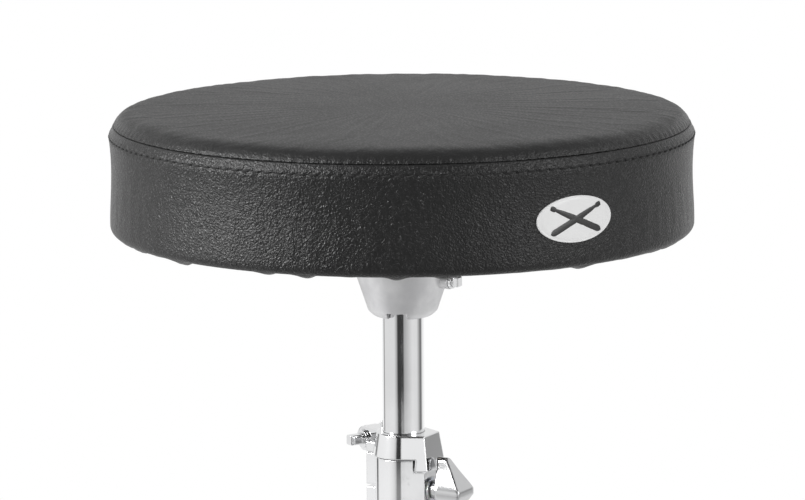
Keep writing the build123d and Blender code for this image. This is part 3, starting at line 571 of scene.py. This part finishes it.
def build_stitches():
    """The visible run of thread: one short sunken capsule for each stitch."""
    vertices, faces = [], []
    rng = np.random.default_rng(3)
    sides, steps = 8, 7
    length, thread_r = 5.2, 0.6
    for k in range(STITCHES):
        middle = (k + 0.5) * 2 * pi / STITCHES
        half = 0.5 * length / SEAT_R * (1 + rng.uniform(-0.04, 0.04))
        drop = 0.22 + rng.uniform(-0.1, 0.1)
        start = len(vertices)
        for i in range(steps):
            t = -1 + 2 * i / (steps - 1)
            a = middle + half * t
            bow = (1 - t * t) * 0.42 - 0.5
            thick = thread_r * (0.55 + 0.45 * (1 - t**4))
            for s in range(sides):
                q = s * 2 * pi / sides
                r = SEAT_R - 0.05 + bow + thick * cos(q) * 0.8
                z = drop * t + thick * sin(q)
                vertices.append((r * cos(a), r * sin(a), z + STITCH_Z / MM))
        for i in range(steps - 1):
            for s in range(sides):
                a0, b0 = start + i * sides, start + (i + 1) * sides
                t0 = (s + 1) % sides
                faces.append((a0 + s, b0 + s, b0 + t0, a0 + t0))
        faces.append(tuple(start + s for s in range(sides)))
        faces.append(tuple(start + (steps - 1) * sides + s for s in reversed(range(sides))))
    return mesh_object("stitch_thread_run", vertices, faces, "thread")


panel, band = build_cushion()
stitches = build_stitches()
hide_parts("cover_top_panel")
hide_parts("cover_side_band", "seat_foam")
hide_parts("top_stitching")


# ------------------------------------------------------------------ dust cover
def build_dust_cover():
    """Thin cloth under the board: pulled between its staples, sagging a little in between."""
    rng = np.random.default_rng(5)
    segments, staples = 336, 28
    hole_r, staple_r, edge_r = 56.0, 143.0, 148.0
    radii = [hole_r, 57.5, 60.0, *np.linspace(65, 138, 18), 141.0, staple_r, 145.0, 147.0, edge_r]
    angles = np.arange(segments) * 2 * pi / segments
    slack = (1 - np.cos(staples * angles)) / 2  # 0 at a staple, 1 half-way to the next
    vertices = []
    ripple = sum(rng.normal() * np.cos(k * angles + rng.uniform(0, 6.28)) / k**0.7 for k in range(2, 30))
    ripple = ripple / np.abs(ripple).max()
    for r in radii:
        tuck = bell(r, staple_r, 9.0)
        sag = 0.9 * sin(pi * (r - hole_r) / (146.0 - hole_r)) ** 0.5 if hole_r < r < 146 else 0.0
        z = BOTTOM_Z - 0.75 - sag - 0.35 * ripple * (r / edge_r) ** 2 * (1 - tuck) - 0.25 * slack * tuck
        edge = np.full(segments, r) + (0.5 * slack if r > 146 else 0.0)
        vertices += zip(edge * np.cos(angles), edge * np.sin(angles), z + STITCH_Z / MM)
    return mesh_object("dust_cover_cloth", vertices, ring_faces(len(radii), segments), "dust_cloth")


# ------------------------------------------------------------------ badge
badge_lo, badge_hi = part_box("badge")
BADGE_Z = (badge_lo[2] + badge_hi[2]) / 2 / MM
BADGE_AZ = atan2((badge_lo[1] + badge_hi[1]) / 2 - AXIS_Y, (badge_lo[0] + badge_hi[0]) / 2 - AXIS_X)
BADGE_A, BADGE_B = 26.1, 13.3  # mm, half its width and half its height
STICK_L = 38.0  # mm, each printed drumstick


def on_badge(u, v, out):
    """A point u mm along the rim and v mm up from the badge's middle, out mm from the wall."""
    r = float(np.polyval(WALL, BADGE_Z + v - STITCH_Z / MM)) + 0.3 + out
    a = BADGE_AZ + u / 174.5
    return (r * cos(a), r * sin(a), BADGE_Z + v)


def build_badge_plate():
    """Thin domed oval with a rolled edge and a shallow groove inside it."""
    vertices = []
    segments = 120
    rim = [(1.0, -0.2), (1.0, 0.45), (0.992, 0.62), (0.975, 0.72)]
    groove = [(0.955, 0.72), (0.945, 0.66), (0.93, 0.66), (0.92, 0.74)]
    profile = rim + groove + [(0.8, 0.80), (0.6, 0.86), (0.35, 0.89), (0.12, 0.90)]
    for share, out in profile:
        for s in range(segments):
            a = s * 2 * pi / segments
            vertices.append(on_badge(BADGE_A * share * cos(a), BADGE_B * share * sin(a), out))
    faces = ring_faces(len(profile), segments)
    vertices.append(on_badge(0, 0, 0.9))
    last = (len(profile) - 1) * segments
    faces += [(last + s, len(vertices) - 1, last + (s + 1) % segments) for s in range(segments)]
    return mesh_object("badge_plate", vertices, faces, "badge_plate")


def stick_outline(length, butt, neck, tip):
    """Half-widths along a drumstick from its butt to its bead tip."""
    stations = []
    for t in np.linspace(0, 0.08, 5):
        stations.append((t, butt * sin((t / 0.08) * pi / 2) ** 0.6 if t else 0.05))
    stations += [(0.2, butt), (0.45, butt), (0.62, butt * 0.93), (0.78, (butt + neck) / 2), (0.9, neck)]
    for t in np.linspace(0, pi, 7)[1:]:
        bead = max(neck + (tip - neck) * sin(t) ** 0.8, 0.05) if t < pi else 0.05
        stations.append((0.9 + 0.1 * (1 - cos(t)) / 2, bead))
    return [(t * length, w) for t, w in stations]


def build_badge_print():
    """The printed emblem: two crossed drumsticks."""
    vertices, faces = [], []
    for turn in (24, 156):
        start = len(vertices)
        d = Vector((cos(radians(turn)), sin(radians(turn))))
        side = Vector((-d.y, d.x))
        outline = stick_outline(STICK_L, 1.9, 0.85, 1.5)
        for along, width in outline:
            middle = d * (along - STICK_L / 2)
            for w in (-width, -width * 0.5, 0, width * 0.5, width):
                p = middle + side * w
                out = 0.93 + 0.10 * (1 - (w / max(width, 0.01)) ** 2)
                vertices.append(on_badge(p.x, p.y, out))
        for i in range(len(outline) - 1):
            for j in range(4):
                a = start + i * 5 + j
                faces.append((a, a + 5, a + 6, a + 1))
    return mesh_object("badge_emblem", vertices, faces, "badge_print")


plate = build_badge_plate()
emblem = build_badge_print()
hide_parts("badge")

dust = build_dust_cover()
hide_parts("dust_cover")

for piece in (panel, band, stitches, plate, emblem, dust):
    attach(piece, "seat")


# ------------------------------------------------------------------ stage, light and camera
def build_floor():
    """A pale disc under the throne that fades into the white room at its edge."""
    segments, radius = 96, 1.3
    mesh = bpy.data.meshes.new("floor")
    ring = [(radius * cos(a), radius * sin(a), -0.0005) for a in np.arange(segments) * 2 * pi / segments]
    mesh.from_pydata(ring, [], [tuple(range(segments))])
    floor = bpy.data.objects.new("floor", mesh)
    scene.collection.objects.link(floor)
    material, n = new_material("pale_floor")
    p = n.position()
    shade = n.mix(n.noise(p, 3.0, 3.0), rgb(0.86), rgb(0.9))
    surface = n.add("ShaderNodeBsdfPrincipled", inputs={"Base Color": shade, "Roughness": 0.75})
    glow = n.add("ShaderNodeEmission", inputs={"Color": rgb(1.0), "Strength": 1.0})
    length = n.add("ShaderNodeVectorMath", operation="LENGTH", inputs={0: p})
    fade = n.span(length.outputs["Value"], 0.35, 1.1, 0.35, 1.0)
    both = n.add("ShaderNodeMixShader", inputs={0: fade, 1: surface.outputs[0], 2: glow.outputs[0]})
    # polished metal shows the room through the floor, only lightly veiled by it
    ray = n.add("ShaderNodeLightPath")
    through = n.add("ShaderNodeBsdfTransparent")
    clear = n.math("MULTIPLY", ray.outputs["Is Glossy Ray"], 0.92)
    both = n.add("ShaderNodeMixShader", inputs={0: clear, 1: both.outputs[0], 2: through.outputs[0]})
    out = n.add("ShaderNodeOutputMaterial")
    n.put(out.inputs["Surface"], both.outputs[0])
    mesh.materials.append(material)


def wall_levels(n, turn, stops):
    """Grey levels of the studio's walls at the given angles from the camera's direction."""
    walls = n.add("ShaderNodeValToRGB", inputs={"Fac": turn})
    ramp = walls.color_ramp
    while len(ramp.elements) > 1:
        ramp.elements.remove(ramp.elements[-1])
    for i, (angle, level) in enumerate(stops):
        spot = (angle + 180) / 360
        element = ramp.elements[0] if i == 0 else ramp.elements.new(spot)
        element.position = spot
        element.color = rgb(level)
    return walls.outputs["Color"]


def build_world():
    """A white studio: bright walls left, right and behind, and a dark gap at the camera."""
    world = bpy.data.worlds.new("studio")
    scene.world = world
    world.use_nodes = True
    n = Nodes(world.node_tree)
    coords = n.add("ShaderNodeTexCoord")
    split = n.add("ShaderNodeSeparateXYZ", inputs={"Vector": coords.outputs["Generated"]})
    x, y, z = split.outputs
    azimuth = n.math("MULTIPLY", n.math("ARCTAN2", x, n.math("MULTIPLY", y, -1.0)), 180 / pi)
    turn = n.span(azimuth, -180.0, 180.0, smooth=False)
    # each stop: degrees from the camera's direction, and the brightness of the studio there.
    # The post sees two soft side walls, a dark gap at the camera and a dark flag beyond each wall.
    behind, wall, edge, flag, gap = 1.0, 0.8, 0.4, 0.2, 0.05
    seen_by_post = wall_levels(n, turn, [
        (-180, behind), (-140, behind), (-130, flag), (-120, wall), (-50, wall), (-35, edge), (-30, gap),
        (0, gap), (5, edge), (50, wall), (80, wall), (105, flag), (115, flag), (125, wall),
        (140, behind), (180, behind)])
    elsewhere = wall_levels(n, turn, [
        (-180, 1.0), (-142, 1.0), (-138, 0.5), (-134, 0.08), (-126, 0.1), (-119, 0.95), (-60, 1.0),
        (-40, 0.85), (-31, 0.6), (-28, 0.06), (-14, 0.03), (-11, 0.95), (60, 1.0), (94, 0.6), (100, 0.1),
        (116, 0.1), (124, 0.9), (142, 1.0), (180, 1.0)])
    upper = wall_levels(n, turn, [
        (-180, 0.85), (-142, 0.85), (-100, 1.0), (-72, 1.0), (-58, 0.6), (-44, 0.15), (-34, 0.05),
        (8, 0.04), (20, 0.12), (36, 0.4), (60, 0.75), (100, 0.7), (124, 0.85), (180, 0.85)])
    elsewhere = n.mix(n.span(z, -0.2275, -0.221, 1.0, 0.0), elsewhere, rgb(0.3), "LIGHTEN")
    post_band = n.math("MULTIPLY", n.span(z, -0.218, -0.2135), n.span(z, -0.12, -0.05, 1.0, 0.0))
    casting_band = n.math("MULTIPLY", n.span(z, -0.27, -0.24), n.span(z, 0.12, 0.2, 1.0, 0.0))
    walls = n.mix(casting_band, upper, n.mix(post_band, elsewhere, seen_by_post))
    walls = n.mix(n.span(z, -0.5, -0.35, 1.0, 0.0), walls, rgb(0.5), "LIGHTEN")
    overhead = n.span(z, 0.55, 0.9)
    level = n.mix(overhead, walls, rgb(0.5))
    seen = n.add("ShaderNodeLightPath")
    level = n.mix(seen.outputs["Is Diffuse Ray"], level, rgb(0.34))
    level = n.mix(seen.outputs["Is Camera Ray"], level, rgb(1.0))
    background = n.add("ShaderNodeBackground", inputs={"Color": level, "Strength": 1.0})
    out = n.add("ShaderNodeOutputWorld")
    n.put(out.inputs["Surface"], background)


def area_light(name, place, height, size, power):
    """A rectangular lamp turned to a height on the post's axis."""
    data = bpy.data.lights.new(name, "AREA")
    data.shape = "RECTANGLE"
    data.size, data.size_y = size
    data.energy = power
    light = bpy.data.objects.new(name, data)
    light.location = place
    towards = Vector((AXIS_X, AXIS_Y, height)) - Vector(place)
    light.rotation_euler = towards.to_track_quat("-Z", "Y").to_euler()
    scene.collection.objects.link(light)


def place_camera():
    """Looks along +Y at the seat from the distance and the height of the photograph."""
    data = bpy.data.cameras.new("camera")
    camera = bpy.data.objects.new("camera", data)
    scene.collection.objects.link(camera)
    data.sensor_width = SENSOR_WIDTH
    data.lens = FOCAL_LENGTH
    back, up = CAMERA_DISTANCE * cos(CAMERA_RISE), CAMERA_DISTANCE * sin(CAMERA_RISE)
    camera.location = (AXIS_X, AXIS_Y - back, STITCH_Z + up)
    pitch = Matrix.Rotation(pi / 2 - CAMERA_RISE - CAMERA_DIP, 3, "X")
    camera.rotation_euler = (pitch @ Matrix.Rotation(-CAMERA_ROLL, 3, "Z")).to_euler()
    data.clip_end = 50
    scene.camera = camera


build_floor()
build_world()
area_light("key_left", (-1.6, -1.2, 2.0), 0.45, (1.2, 1.2), 22)
area_light("strip_left", (-1.75, -0.6, 1.0), 0.48, (0.45, 1.0), 40)
area_light("fill_right", (1.65, -1.0, 1.2), 0.45, (1.0, 1.6), 20)
place_camera()
scene.view_settings.view_transform = "Standard"
